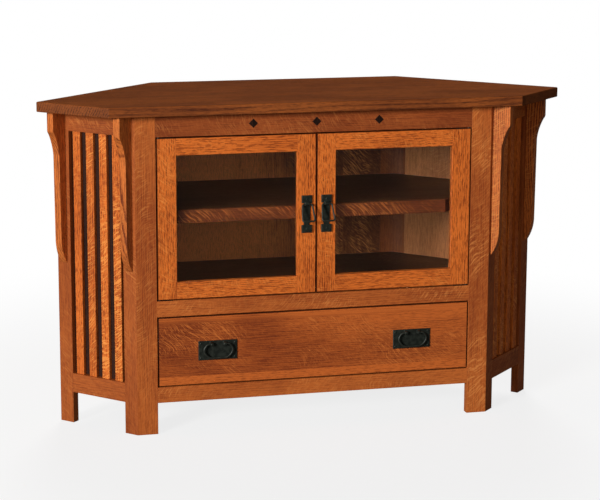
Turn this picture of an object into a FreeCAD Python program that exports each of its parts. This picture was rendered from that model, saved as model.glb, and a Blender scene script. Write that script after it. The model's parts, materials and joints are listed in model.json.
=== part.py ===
import FreeCAD, Part
import math
import os

# A corner cabinet in quarter-sawn oak, for a room's corner.
# Plan: a long front, two side frames that run back at 45 degrees, two rear sides that lie
# along the room's walls, and a short back across the corner. It has a drawer below, a pair
# of glazed doors above, slatted side frames, and corbels under an overhanging top.
# X runs to the viewer's right, Y to the back and Z up. While the pieces are made, Y is 0 on
# the front of the face frame. Saving moves them so that the origin is on the floor, in the
# middle of the footprint's box.

Vector = FreeCAD.Vector

# Case
case_height = 811.0
case_depth = 463.5
face_width = 920.0
side_width = 245.0
stock = 20.4
leg_clear = 81.0
half_turn = math.pi
slant = half_turn / 4
slant_share = math.cos(slant)
mitre_share = math.tan(slant / 2)

# Top
top_thickness = 25.4
front_overhang = 37.4
side_overhang = 74.4
top_ease = 1.6

# Face frame
front_stile_width = 52.0
bottom_rail_height = 40.0
drawer_opening_height = 181.4
middle_rail_height = 40.6
top_rail_height = 55.5
tenon_length_share = 0.5
tenon_side_share = 1 / 3
tenon_shoulder = 9.0

# Diamond pegs in the top rail
peg_side = 16.2
peg_pitch = 162.0
peg_depth = 9.0
peg_proud = 0.8
pegs_each_side = 1

# Side frames
side_front_stile_width = 38.8
side_rear_stile_width = 41.0
side_bottom_rail_height = 50.0
side_top_rail_height = 53.0
slat_width = 22.7
slat_gap = 18.0
slat_recess = 4.0
backing_thickness = 6.4

# Corbels
corbel_thickness = 19.5
corbel_drop = 391.0
corbel_head_width = 47.0
corbel_head_drop = 46.0
corbel_nose_width = 42.5
corbel_nose_drop = 58.0
corbel_neck_width = 24.4
corbel_neck_drop = 114.0
corbel_waist_width = 22.4
corbel_tail_drop = 331.0
corbel_tip_width = 2.6

# Back
back_leg_width = 45.0
back_top_rail_height = 60.0
back_bottom_rail_height = 50.0
back_panel_thickness = 6.4

# Shelf, floor and cleats
floor_thickness = 20.4
shelf_height_share = 0.5418
shelf_thickness = 20.4
shelf_lip_height = 33.0
shelf_lip_depth = 20.4
shelf_front_setback = 5.6
shelf_end_inset = 60.0
shelf_clip = 60.0
shelf_wall_gap = 0.8
cleat_side = 18.0
cleat_end_gap = 12.0

# Doors
reveal = 3.0
door_stile_width = 48.0
door_rail_width = 43.5
rabbet_width = 8.0
rabbet_front = 8.0
glass_thickness = 4.0
glass_gap = 1.0

# Door pivots
pivot_inset = 4.5
pivot_radius = 2.0
pivot_clearance = 0.05
pivot_hole_clearance = 0.6
pivot_beyond_leaf = 1.5
leaf_thickness = 2.0
leaf_length = 38.0
leaf_width = 10.0
leaf_inset = 1.0
collar_radius = 3.4
thrust_gap = 0.1

# Catches
catch_width = 46.0
catch_depth = 13.0
catch_height = 40.0
catch_centre = 32.0
catch_on_rail = 20.0
strike_thickness = 2.0
strike_width = 40.0
strike_height = 12.0
strike_air = 0.3

# Drawer
box_side_thickness = 12.0
box_bottom_thickness = 6.4
box_under_gap = 14.0
box_over_gap = 17.4
box_rear_gap = 10.0
groove_depth = 5.0
groove_lift = 10.0
drawer_ease = 0.8

# Drawer slides
slide_space = 12.7
slide_height = 45.0
slide_front_gap = 4.0
slide_rear_gap = 6.0
slide_wall = 1.5
slide_air = 0.4
slide_ball_wall = 4.0
slide_centre_lift = 78.0
support_thickness = 19.0

# Drawer pulls
drawer_pull_inset = 150.5
drawer_pull_drop = 1.2
plate_width = 100.0
plate_height = 50.5
plate_thickness = 3.0
plate_bevel = 1.6
drawer_bail_width = 76.0
drawer_bail_drop = 38.0
drawer_bail_radius = 2.3
bail_shoulder_radius = 15.0
bail_hip_radius = 21.0
bail_pin_clearance = 0.05
post_x = 17.0
post_width = 6.0
post_height = 9.0
post_standoff = 7.0
post_drop = 8.0

# Door pulls
pull_plate_width = 27.0
pull_plate_height = 95.5
pull_waist_width = 14.0
pull_block_height = 20.0
pull_plate_thickness = 2.6
pull_block_thickness = 5.0
pull_ease = 1.0
pull_pivot_drop = 21.5
pull_pivot_standoff = 8.0
knuckle_radius = 4.2
knuckle_width = 11.0
door_bail_radius = 2.0
door_bail_top_width = 17.0
door_bail_bottom_width = 35.0
door_bail_length = 45.0
door_bail_lean = half_turn * 25 / 180
door_bail_corner = 5.0
bail_end_gap = 0.8

# Nails
nail_head_radius = 2.8
nail_head_height = 1.4
nail_shank_radius = 1.1
nail_length = 16.0
nail_inset = 6.5

# Worked out from the sizes above
overrun = stock
face_half = face_width / 2
opening_half = face_half - front_stile_width
case_sum = face_half + 2 * side_width * slant_share
back_half = case_sum - case_depth
slant_stock = stock / slant_share
inner_back = case_depth - stock
rear_side_length = (case_depth - side_width * slant_share) / slant_share
bottom_rail_top = leg_clear + bottom_rail_height
drawer_opening_top = bottom_rail_top + drawer_opening_height
middle_rail_top = drawer_opening_top + middle_rail_height
door_opening_top = case_height - top_rail_height
shelf_top_height = middle_rail_top + (door_opening_top - middle_rail_top) * shelf_height_share
shelf_front_width = 2 * (opening_half - shelf_end_inset)
top_surface = case_height + top_thickness
side_panel_low = leg_clear + side_bottom_rail_height
side_panel_high = case_height - side_top_rail_height
middle_of_depth = (case_depth - front_overhang) / 2
door_low = middle_rail_top + reveal
door_high = door_opening_top - reveal
door_outer = opening_half - reveal
door_inner = reveal / 2
pivot_x = door_outer - pivot_inset
door_pull_x = door_inner + door_stile_width / 2
door_pull_height = (door_low + door_high) / 2
pull_low = door_pull_height - pull_plate_height / 2
pull_high = door_pull_height + pull_plate_height / 2
pull_pivot_height = pull_high - pull_pivot_drop
drawer_pull_x = opening_half - reveal - drawer_pull_inset
drawer_pull_height = (bottom_rail_top + drawer_opening_top) / 2 - drawer_pull_drop
drawer_pivot_height = drawer_pull_height + plate_height / 2 - post_drop
drawer_pivot_y = -plate_thickness - post_standoff
support_back = min(case_sum - slant_stock - opening_half, inner_back)
slide_front = stock + slide_front_gap
slide_back = support_back - slide_rear_gap
slide_mid = bottom_rail_top + slide_centre_lift
box_half = opening_half - slide_space
box_low = bottom_rail_top + box_under_gap
box_high = drawer_opening_top - box_over_gap
box_back = support_back - box_rear_gap
rear_limit = case_sum - slant_stock


def block(x0, x1, y0, y1, z0, z1):
    """A board between two corners."""
    return Part.makeBox(x1 - x0, y1 - y0, z1 - z0, Vector(x0, y0, z0))


def prism(outline, z0, z1):
    """A flat board of any outline, given as x and y pairs."""
    ring = [Vector(x, y, z0) for x, y in outline]
    face = Part.Face(Part.makePolygon(ring + ring[:1]))
    return face.extrude(Vector(0, 0, z1 - z0))


def rod(radius, length, start, direction):
    return Part.makeCylinder(radius, length, start, direction)


def mirrored(shape):
    """The same piece on the other side of the cabinet."""
    return shape.mirror(Vector(0, 0, 0), Vector(1, 0, 0))


def on_right_side(shape):
    """Puts a piece, drawn as if the side faced forwards, on the right side frame's plane."""
    turned = shape.copy()
    turned.rotate(Vector(0, 0, 0), Vector(0, 0, 1), math.degrees(slant))
    turned.translate(Vector(face_half, 0, 0))
    return turned


def eased(shape, size, wanted):
    """Breaks the sharp edges that the test picks, as sanding does."""
    edges = [edge for edge in shape.Edges if wanted(edge.BoundBox)]
    return shape.makeChamfer(size, edges) if edges else shape


def save(node, *solids):
    """Writes a node, with the origin moved to the middle of the footprint."""
    pieces = []
    for solid in solids:
        moved = solid.copy()
        moved.translate(Vector(0, -middle_of_depth, 0))
        pieces.append(moved)
    shape = pieces[0] if len(pieces) == 1 else Part.makeCompound(pieces)
    volume = sum(piece.Volume for piece in pieces)
    count = sum(len(piece.Solids) for piece in pieces)
    print(node, "solids", count, "volume", round(volume), "valid", shape.isValid())
    shape.exportStep(os.path.join("parts", node + ".step"))


def rounded_path(corners, place):
    """A path of straight runs and tangent arcs. Each corner is x, y and its arc's radius,
    and place turns x and y into a point in space."""
    edges = []
    here = Vector(corners[0][0], corners[0][1], 0)
    for index in range(1, len(corners) - 1):
        corner = Vector(corners[index][0], corners[index][1], 0)
        before = Vector(corners[index - 1][0], corners[index - 1][1], 0)
        after = Vector(corners[index + 1][0], corners[index + 1][1], 0)
        to_before = (before - corner).normalize()
        to_after = (after - corner).normalize()
        half_angle = to_before.getAngle(to_after) / 2
        radius = corners[index][2]
        reach = radius / math.tan(half_angle)
        first = corner + to_before * reach
        last = corner + to_after * reach
        bisector = (to_before + to_after).normalize()
        centre = corner + bisector * (radius / math.sin(half_angle))
        middle = centre - bisector * radius
        edges.append(Part.LineSegment(place(here), place(first)).toShape())
        edges.append(Part.Arc(place(first), place(middle), place(last)).toShape())
        here = last
    end = Vector(corners[-1][0], corners[-1][1], 0)
    edges.append(Part.LineSegment(place(here), place(end)).toShape())
    return Part.Wire(edges)


def bent_wire(path, radius):
    """A round wire along a path that starts on its first straight run."""
    first = path.Edges[0]
    start = first.Vertexes[0].Point
    direction = first.Vertexes[1].Point - start
    ring = Part.Wire([Part.makeCircle(radius, start, direction)])
    return path.makePipeShell([ring], True, False)


def rail(x0, x1, z0, z1, tenon0, tenon1):
    """A rail between two stiles, with a tenon at each end."""
    tongue_front = stock * tenon_side_share
    tongue = block(x0 - tenon0, x1 + tenon1, tongue_front, stock - tongue_front,
                   z0 + tenon_shoulder, z1 - tenon_shoulder)
    return block(x0, x1, 0, stock, z0, z1).fuse(tongue).removeSplitter()


def inner_outline(front, gap):
    """The case's inside in plan, from a front line back, a gap clear of the walls."""
    side_line = face_half - slant_stock - gap / slant_share
    rear_line = rear_limit - gap / slant_share
    back = inner_back - gap
    tip_x = (side_line + rear_line) / 2
    right = [(side_line + front, front), (tip_x, rear_line - tip_x), (rear_line - back, back)]
    left = [(-x, y) for x, y in reversed(right)]
    return right + left


def top_panel():
    """The overhanging top, in line with the rear sides and the back."""
    side_line = face_half + side_overhang / slant_share
    tip_x = (side_line + case_sum) / 2
    right = [(side_line - front_overhang, -front_overhang), (tip_x, case_sum - tip_x),
             (back_half, case_depth)]
    left = [(-x, y) for x, y in reversed(right)]
    board = prism(right + left, case_height, top_surface)
    return eased(board, top_ease, lambda box: True)


def front_rails():
    """The three rails of the face frame, from the top down."""
    tenon = front_stile_width * tenon_length_share
    levels = ((door_opening_top, case_height), (drawer_opening_top, middle_rail_top),
              (leg_clear, bottom_rail_top))
    return [rail(-opening_half, opening_half, low, high, tenon, tenon) for low, high in levels]


def front_stile(rails):
    """The right front stile, which is also half of a leg. Its outer edge is mitred."""
    outline = [(opening_half, 0), (face_half, 0), (face_half - stock * mitre_share, stock),
               (opening_half, stock)]
    return prism(outline, 0, case_height).cut(Part.makeCompound(rails))


def diamond_pegs():
    """Square dark pegs set on their corners in the top rail."""
    pegs = []
    height = (door_opening_top + case_height) / 2
    for place in range(-pegs_each_side, pegs_each_side + 1):
        peg = block(-peg_side / 2, peg_side / 2, -peg_proud, peg_depth,
                    -peg_side / 2, peg_side / 2)
        peg = eased(peg, peg_proud / 2, lambda box: box.YMax < 0)
        peg.rotate(Vector(0, 0, 0), Vector(0, 1, 0), math.degrees(slant))
        peg.translate(Vector(place * peg_pitch, 0, height))
        pegs.append(peg)
    return pegs


def side_rails():
    """The bottom and top rails of a side frame, drawn facing forwards."""
    left = side_front_stile_width
    right = side_width - side_rear_stile_width
    front_tenon = side_front_stile_width * tenon_length_share
    rear_tenon = side_rear_stile_width * tenon_length_share
    low = rail(left, right, leg_clear, side_panel_low, front_tenon, rear_tenon)
    high = rail(left, right, side_panel_high, case_height, front_tenon, rear_tenon)
    return [low, high]


def side_front_stile(rails):
    """The side half of a front leg, mitred to the face frame's stile."""
    outline = [(0, 0), (side_front_stile_width, 0), (side_front_stile_width, stock),
               (stock * mitre_share, stock)]
    return prism(outline, 0, case_height).cut(Part.makeCompound(rails))


def side_rear_stile(rails):
    stile = block(side_width - side_rear_stile_width, side_width, 0, stock, 0, case_height)
    return stile.cut(Part.makeCompound(rails))


def side_slats():
    """Upright slats spread evenly between a side frame's stiles."""
    left = side_front_stile_width
    room = side_width - side_rear_stile_width - left
    pitch = slat_width + slat_gap
    count = max(int((room + slat_gap) // pitch), 1)
    margin = (room - count * pitch + slat_gap) / 2
    slats = []
    for index in range(count):
        start = left + margin + index * pitch
        slats.append(block(start, start + slat_width, slat_recess, stock - backing_thickness,
                           side_panel_low, side_panel_high))
    return slats


def side_backing():
    """The thin panel behind the slats."""
    return block(side_front_stile_width, side_width - side_rear_stile_width,
                 stock - backing_thickness, stock, side_panel_low, side_panel_high)


def corbel(centre):
    """A bracket under the top, on the middle of a stile. Its outline runs from the wide head
    through a rounded nose and a hollow to a long slim tail."""
    def at(width, drop):
        return Vector(centre - corbel_thickness / 2, -width, case_height - drop)

    nose_middle = at(corbel_head_width * 2 / 3 + corbel_nose_width / 3,
                     corbel_head_drop / 3 + corbel_nose_drop * 2 / 3)
    hollow_middle = at(corbel_neck_width * 2 / 3 + corbel_nose_width / 3,
                       (corbel_nose_drop + corbel_neck_drop) / 2)
    tail_middle = at(corbel_waist_width * 3 / 4 + corbel_tip_width / 8,
                     (corbel_tail_drop + corbel_drop) / 2)
    edges = [
        Part.LineSegment(at(0, 0), at(corbel_head_width, 0)),
        Part.LineSegment(at(corbel_head_width, 0), at(corbel_head_width, corbel_head_drop)),
        Part.Arc(at(corbel_head_width, corbel_head_drop), nose_middle,
                 at(corbel_nose_width, corbel_nose_drop)),
        Part.Arc(at(corbel_nose_width, corbel_nose_drop), hollow_middle,
                 at(corbel_neck_width, corbel_neck_drop)),
        Part.LineSegment(at(corbel_neck_width, corbel_neck_drop),
                         at(corbel_waist_width, corbel_tail_drop)),
        Part.Arc(at(corbel_waist_width, corbel_tail_drop), tail_middle,
                 at(corbel_tip_width, corbel_drop)),
        Part.LineSegment(at(corbel_tip_width, corbel_drop), at(0, corbel_drop)),
        Part.LineSegment(at(0, corbel_drop), at(0, 0)),
    ]
    face = Part.Face(Part.Wire([edge.toShape() for edge in edges]))
    return face.extrude(Vector(corbel_thickness, 0, 0))


def rear_side_panel():
    """The board along the room's wall, drawn in the side frame's place."""
    return block(side_width - stock, side_width, stock, rear_side_length - back_leg_width,
                 leg_clear, case_height)


def back_leg():
    """The bent leg where the right rear side meets the back."""
    run = back_leg_width * slant_share
    depth = stock * slant_share
    outer = (back_half + run, case_depth - run)
    outline = [(back_half, case_depth), outer, (outer[0] - depth, outer[1] - depth),
               (back_half - stock * mitre_share, inner_back),
               (back_half - back_leg_width, inner_back),
               (back_half - back_leg_width, case_depth)]
    return prism(outline, 0, case_height)


def back_rails():
    half = back_half - back_leg_width
    low = block(-half, half, inner_back, case_depth, leg_clear,
                leg_clear + back_bottom_rail_height)
    high = block(-half, half, inner_back, case_depth, case_height - back_top_rail_height,
                 case_height)
    return [low, high]


def back_panel():
    half = back_half - back_leg_width
    return block(-half, half, inner_back, inner_back + back_panel_thickness,
                 leg_clear + back_bottom_rail_height, case_height - back_top_rail_height)


def case_floor(level):
    """A board that fills the case in plan, with its top at a level."""
    return prism(inner_outline(stock, 0), level - floor_thickness, level)


def shelf_front():
    return stock + shelf_front_setback


def shelf_board():
    """The shelf behind its lip, with its front corners cut away."""
    lip_back = shelf_front() + shelf_lip_depth
    half = shelf_front_width / 2
    clip_y = shelf_front() + shelf_clip
    outline = inner_outline(clip_y, shelf_wall_gap)
    outline += [(-half - shelf_clip, clip_y), (-half - shelf_lip_depth, lip_back),
                (half + shelf_lip_depth, lip_back), (half + shelf_clip, clip_y)]
    return prism(outline, shelf_top_height - shelf_thickness, shelf_top_height)


def shelf_front_lip():
    """The thick strip that stiffens the shelf's front edge."""
    half = shelf_front_width / 2
    front = shelf_front()
    outline = [(-half, front), (half, front),
               (half + shelf_lip_depth, front + shelf_lip_depth),
               (-half - shelf_lip_depth, front + shelf_lip_depth)]
    return prism(outline, shelf_top_height - shelf_lip_height, shelf_top_height)


def shelf_cleats():
    """Strips on the side frames, rear sides and back that carry the shelf."""
    high = shelf_top_height - shelf_thickness
    low = high - cleat_side
    end_gap = cleat_side + cleat_end_gap
    side = block(shelf_clip + end_gap, side_width - stock - end_gap, stock,
                 stock + cleat_side, low, high)
    rear = block(side_width - stock - cleat_side, side_width - stock, stock + end_gap,
                 rear_side_length - back_leg_width, low, high)
    back_reach = back_half - back_leg_width
    back = block(-back_reach, back_reach, inner_back - cleat_side, inner_back, low, high)
    slanted = [on_right_side(side), on_right_side(rear)]
    return slanted + [mirrored(strip) for strip in slanted] + [back]


def top_cleats():
    """Strips inside the case's upper edge, which the top is screwed to from below."""
    low = case_height - cleat_side
    end_gap = cleat_side + cleat_end_gap
    front = block(-opening_half, opening_half, stock, stock + cleat_side, low, case_height)
    back_reach = back_half - back_leg_width
    back = block(-back_reach, back_reach, inner_back - cleat_side, inner_back, low,
                 case_height)
    side = block(side_front_stile_width + end_gap, side_width - stock - end_gap, stock,
                 stock + cleat_side, low, case_height)
    return [front, back, on_right_side(side), mirrored(on_right_side(side))]


def drawer_support():
    """The upright board beside the drawer, cut to meet the rear side."""
    outer = opening_half + support_thickness
    outline = [(opening_half, stock), (outer, stock),
               (outer, min(rear_limit - outer, inner_back)), (opening_half, support_back)]
    return prism(outline, bottom_rail_top, middle_rail_top - floor_thickness)


def channel(x_web, x_open, y0, y1, half_height, web, flange):
    """A metal channel on its side: a web with a flange along its top and its bottom."""
    low = min(x_web, x_open)
    high = max(x_web, x_open)
    body = block(low, high, y0, y1, slide_mid - half_height, slide_mid + half_height)
    inside_low = low if x_open < x_web else low + web
    inside_high = high if x_open > x_web else high - web
    hollow = block(inside_low, inside_high, y0, y1, slide_mid - half_height + flange,
                   slide_mid + half_height - flange)
    return body.cut(hollow)


def slide_members():
    """The right slide's outer, middle and inner members, one inside the other."""
    wall = opening_half
    outer_half = slide_height / 2
    middle_half = outer_half - slide_wall - slide_air
    inner_half = middle_half - slide_ball_wall - slide_air
    middle_web = wall - slide_wall - slide_air
    inner_open = middle_web - slide_wall - slide_air
    mouth = wall - slide_space + slide_wall + slide_air
    outer = channel(wall, mouth, slide_front, slide_back, outer_half, slide_wall, slide_wall)
    middle = channel(middle_web, mouth, slide_front, slide_back, middle_half, slide_wall,
                     slide_ball_wall)
    inner = channel(wall - slide_space, inner_open, slide_front, slide_back, inner_half,
                    slide_wall, slide_wall)
    return outer, middle, inner


def nail(x, surface, z):
    """A round-headed nail driven back from a surface, turned from half its outline."""
    tip = Vector(0, nail_length, 0)
    crown = Vector(0, -nail_head_height, 0)
    rim = Vector(nail_head_radius, 0, 0)
    slope = Vector(nail_head_radius * slant_share, -nail_head_height * slant_share, 0)
    neck = Vector(nail_shank_radius, 0, 0)
    end = Vector(nail_shank_radius, nail_length, 0)
    edges = [Part.Arc(crown, slope, rim), Part.LineSegment(rim, neck),
             Part.LineSegment(neck, end), Part.LineSegment(end, tip),
             Part.LineSegment(tip, crown)]
    face = Part.Face(Part.Wire([edge.toShape() for edge in edges]))
    turned = face.revolve(Vector(0, 0, 0), Vector(0, 1, 0), math.degrees(2 * half_turn))
    turned.translate(Vector(x, surface, z))
    return turned


def drawer_pull_nails():
    """A nail near each corner of both drawer plates."""
    nails = []
    for side in (-1, 1):
        for across in (-1, 1):
            for up in (-1, 1):
                x = side * drawer_pull_x + across * (plate_width / 2 - nail_inset)
                z = drawer_pull_height + up * (plate_height / 2 - nail_inset)
                nails.append(nail(x, -plate_thickness, z))
    return nails


def drawer_pull_plate(centre, nails):
    """A bevelled back plate with two bored posts that carry the bail."""
    low = drawer_pull_height - plate_height / 2
    plate = block(centre - plate_width / 2, centre + plate_width / 2, -plate_thickness, 0,
                  low, low + plate_height)
    plate = eased(plate, plate_bevel, lambda box: box.YMax < -plate_thickness / 2)
    for side in (-1, 1):
        x = centre + side * post_x
        stem = block(x - post_width / 2, x + post_width / 2, drawer_pivot_y,
                     -plate_thickness, drawer_pivot_height - post_height / 2,
                     drawer_pivot_height + post_height / 2)
        start = Vector(x - post_width / 2, drawer_pivot_y, drawer_pivot_height)
        nose = rod(post_height / 2, post_width, start, Vector(1, 0, 0))
        plate = plate.fuse(stem.fuse(nose))
    bore_start = Vector(centre - plate_width, drawer_pivot_y, drawer_pivot_height)
    bore = rod(drawer_bail_radius + bail_pin_clearance, 2 * plate_width, bore_start,
               Vector(1, 0, 0))
    return plate.removeSplitter().cut(bore).cut(Part.makeCompound(nails))


def drawer_bail(centre):
    """A bent handle that hangs from its two ends, which turn in towards each other."""
    half = drawer_bail_width / 2
    end = post_x - post_width / 2 - bail_end_gap
    corners = [(-end, 0, 0), (-half, 0, bail_shoulder_radius),
               (-half, -drawer_bail_drop, bail_hip_radius),
               (half, -drawer_bail_drop, bail_hip_radius), (half, 0, bail_shoulder_radius),
               (end, 0, 0)]

    def place(point):
        return Vector(centre + point.x, drawer_pivot_y, drawer_pivot_height + point.y)

    return bent_wire(rounded_path(corners, place), drawer_bail_radius)


def drawer_front(nails):
    board = block(-opening_half + reveal, opening_half - reveal, 0, stock,
                  bottom_rail_top + reveal, drawer_opening_top - reveal)
    board = eased(board, drawer_ease, lambda box: box.YMax < stock / 2)
    return board.cut(Part.makeCompound(nails))


def drawer_bottom():
    """The thin bottom, held in a groove on all four sides."""
    reach = box_half - box_side_thickness + groove_depth
    low = box_low + groove_lift
    return block(-reach, reach, stock + box_side_thickness - groove_depth,
                 box_back - box_side_thickness + groove_depth, low,
                 low + box_bottom_thickness)


def drawer_sides(bottom):
    right = block(box_half - box_side_thickness, box_half, stock, box_back, box_low, box_high)
    right = right.cut(bottom)
    return [right, mirrored(right)]


def drawer_box_ends(bottom):
    half = box_half - box_side_thickness
    front = block(-half, half, stock, stock + box_side_thickness, box_low, box_high)
    back = block(-half, half, box_back - box_side_thickness, box_back, box_low, box_high)
    return [front.cut(bottom), back.cut(bottom)]


def leaf_span():
    """Where a pivot hinge's leaves lie along the door's edge."""
    return door_outer - leaf_length, door_outer - leaf_inset


def frame_leaf(level, up):
    """The case's half of a pivot hinge, let into a rail: leaf, collar and pin. Up is 1 where
    the pin points up, and -1 where it points down."""
    start, end = leaf_span()
    sunk = level - up * leaf_thickness
    leaf = block(start, end, leaf_inset, leaf_inset + leaf_width, min(level, sunk),
                 max(level, sunk))
    point = Vector(pivot_x, pivot_inset, level)
    toward = Vector(0, 0, up)
    collar = rod(collar_radius, reveal - thrust_gap, point, toward)
    pin = rod(pivot_radius, reveal + leaf_thickness + pivot_beyond_leaf, point, toward)
    return leaf.fuse([collar, pin]).removeSplitter()


def door_leaf(level, up):
    """The door's half of a pivot hinge, with the hole that the pin turns in."""
    start, end = leaf_span()
    sunk = level + up * leaf_thickness
    leaf = block(start, end, leaf_inset, leaf_inset + leaf_width, min(level, sunk),
                 max(level, sunk))
    point = Vector(pivot_x, pivot_inset, level)
    return leaf.cut(rod(pivot_radius + pivot_clearance, leaf_thickness, point,
                        Vector(0, 0, up)))


def pin_well(level, up):
    """Room in the door's wood for the pin's end."""
    point = Vector(pivot_x, pivot_inset, level)
    depth = leaf_thickness + 2 * pivot_beyond_leaf
    return rod(pivot_radius + pivot_hole_clearance, depth, point, Vector(0, 0, up))


def frame_leaves():
    right = [frame_leaf(middle_rail_top, 1), frame_leaf(door_opening_top, -1)]
    return right + [mirrored(leaf) for leaf in right]


def door_leaves():
    return [door_leaf(door_low, 1), door_leaf(door_high, -1)]


def glass_edges():
    """The sight size of the glass: left, right, low and high."""
    return (door_inner + door_stile_width, door_outer - door_stile_width,
            door_low + door_rail_width, door_high - door_rail_width)


def rabbet_room():
    left, right, low, high = glass_edges()
    return block(left - rabbet_width, right + rabbet_width, rabbet_front, stock + overrun,
                 low - rabbet_width, high + rabbet_width)


def door_rails():
    """The right door's bottom and top rails, rabbeted for the glass."""
    left, right, low, high = glass_edges()
    tenon = door_stile_width * tenon_length_share
    bottom = rail(left, right, door_low, low, tenon, tenon)
    top = rail(left, right, high, door_high, tenon, tenon)
    room = rabbet_room()
    return [bottom.cut(room), top.cut(room)]


def door_stiles(rails, nails):
    """The right door's inner and outer stiles."""
    left, right, low, high = glass_edges()
    inner = block(door_inner, left, 0, stock, door_low, door_high)
    outer = block(right, door_outer, 0, stock, door_low, door_high)
    wells = [pin_well(door_low, 1), pin_well(door_high, -1)]
    taken = Part.makeCompound(rails + door_leaves() + wells + nails)
    room = rabbet_room()
    return [inner.cut(room).cut(taken), outer.cut(room).cut(taken)]


def door_glass():
    left, right, low, high = glass_edges()
    reach = rabbet_width - glass_gap
    return block(left - reach, right + reach, rabbet_front, rabbet_front + glass_thickness,
                 low - reach, high + reach)


def glazing_beads():
    """Four strips behind the glass that hold it in the rabbet."""
    left, right, low, high = glass_edges()
    front = rabbet_front + glass_thickness
    outer_left = left - rabbet_width
    outer_right = right + rabbet_width
    bottom = block(outer_left, outer_right, front, stock, low - rabbet_width, low)
    top = block(outer_left, outer_right, front, stock, high, high + rabbet_width)
    inner = block(outer_left, left, front, stock, low, high)
    outer = block(right, outer_right, front, stock, low, high)
    return [bottom, top, inner, outer]


def door_strike():
    """The steel plate on the back of the door that the catch pulls on."""
    half = strike_width / 2
    high = door_high - strike_height / 2
    return block(catch_centre - half, catch_centre + half, stock, stock + strike_thickness,
                 high - strike_height, high)


def door_catch():
    """The magnetic catch behind the top rail, whose lower end meets the strike."""
    left = catch_centre - catch_width / 2
    right = left + catch_width
    back = stock + strike_thickness + catch_depth
    top = door_opening_top + catch_on_rail
    upper = block(left, right, stock, back, door_opening_top, top)
    lower = block(left, right, stock + strike_thickness + strike_air, back,
                  top - catch_height, door_opening_top)
    return upper.fuse(lower).removeSplitter()


def door_pull_nails():
    low = nail(door_pull_x, -pull_block_thickness, pull_low + pull_block_height / 2)
    high = nail(door_pull_x, -pull_block_thickness, pull_high - pull_block_height / 2)
    return [low, high]


def door_pull_plate(nails):
    """A back plate with a narrow waist, a raised block at each end, and a bored knuckle."""
    half = pull_plate_width / 2
    waist = block(door_pull_x - pull_waist_width / 2, door_pull_x + pull_waist_width / 2,
                  -pull_plate_thickness, 0, pull_low, pull_high)
    plate = waist
    for low in (pull_low, pull_high - pull_block_height):
        end = block(door_pull_x - half, door_pull_x + half, -pull_block_thickness, 0, low,
                    low + pull_block_height)
        plate = plate.fuse(eased(end, pull_ease,
                                 lambda box: box.YMax < -pull_block_thickness / 2))
    left = door_pull_x - knuckle_width / 2
    start = Vector(left, -pull_pivot_standoff, pull_pivot_height)
    barrel = rod(knuckle_radius, knuckle_width, start, Vector(1, 0, 0))
    root = block(left, left + knuckle_width, -pull_pivot_standoff, 0,
                 pull_pivot_height - knuckle_radius, pull_pivot_height + knuckle_radius)
    bore = rod(door_bail_radius + bail_pin_clearance, knuckle_width, start, Vector(1, 0, 0))
    return plate.fuse([barrel, root]).removeSplitter().cut(bore).cut(Part.makeCompound(nails))


def door_bail():
    """A tapered ring of wire that hangs from the knuckle, with its foot off the door."""
    top_half = door_bail_top_width / 2
    foot_half = door_bail_bottom_width / 2
    corners = [(-bail_end_gap / 2, 0, 0), (-top_half, 0, door_bail_corner / 2),
               (-foot_half, -door_bail_length, door_bail_corner),
               (foot_half, -door_bail_length, door_bail_corner),
               (top_half, 0, door_bail_corner / 2), (bail_end_gap / 2, 0, 0)]

    def place(point):
        return Vector(door_pull_x + point.x,
                      -pull_pivot_standoff + point.y * math.sin(door_bail_lean),
                      pull_pivot_height + point.y * math.cos(door_bail_lean))

    return bent_wire(rounded_path(corners, place), door_bail_radius)


def make_face_frame():
    rails = front_rails()
    stile = front_stile(rails)
    pegs = diamond_pegs()
    leaves = Part.makeCompound(frame_leaves())
    save("right_front_stile", stile)
    save("left_front_stile", mirrored(stile))
    save("front_top_rail", rails[0].cut(leaves).cut(Part.makeCompound(pegs)))
    save("front_middle_rail", rails[1].cut(leaves))
    save("front_bottom_rail", rails[2])
    save("diamond_pegs", *pegs)
    save("hinge_frame_leaves", *leaves.Solids)


def make_sides():
    rails = side_rails()
    front_middle = side_front_stile_width / 2
    rear_middle = side_width - side_rear_stile_width / 2
    groups = {
        "side_front_stile": [side_front_stile(rails)],
        "side_rear_stile": [side_rear_stile(rails)],
        "side_rails": rails,
        "side_slats": side_slats(),
        "corbels": [corbel(front_middle), corbel(rear_middle)],
    }
    for name, drawn in groups.items():
        right = [on_right_side(piece) for piece in drawn]
        save("right_" + name, *right)
        save("left_" + name, *[mirrored(piece) for piece in right])
    for name, drawn in (("side_backing_panels", side_backing()),
                        ("rear_side_panels", rear_side_panel())):
        right = on_right_side(drawn)
        save(name, right, mirrored(right))


def make_case():
    save("top_panel", top_panel())
    leg = back_leg()
    save("back_legs", leg, mirrored(leg))
    save("back_rails", *back_rails())
    save("back_panel", back_panel())
    save("case_bottom", case_floor(bottom_rail_top))
    save("compartment_floor", case_floor(middle_rail_top))
    save("shelf_board", shelf_board())
    save("shelf_front_lip", shelf_front_lip())
    save("shelf_cleats", *shelf_cleats())
    save("top_cleats", *top_cleats())
    catch = door_catch()
    save("door_catches", catch, mirrored(catch))


def make_drawer():
    support = drawer_support()
    save("drawer_supports", support, mirrored(support))
    for name, member in zip(("outer", "middle", "inner"), slide_members()):
        save(name + "_slide_members", member, mirrored(member))
    nails = drawer_pull_nails()
    bottom = drawer_bottom()
    save("drawer_front", drawer_front(nails))
    save("drawer_box_ends", *drawer_box_ends(bottom))
    save("drawer_sides", *drawer_sides(bottom))
    save("drawer_bottom", bottom)
    save("drawer_pull_nails", *nails)
    save("drawer_pull_plates", drawer_pull_plate(-drawer_pull_x, nails),
         drawer_pull_plate(drawer_pull_x, nails))
    save("left_drawer_bail", drawer_bail(-drawer_pull_x))
    save("right_drawer_bail", drawer_bail(drawer_pull_x))


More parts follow.
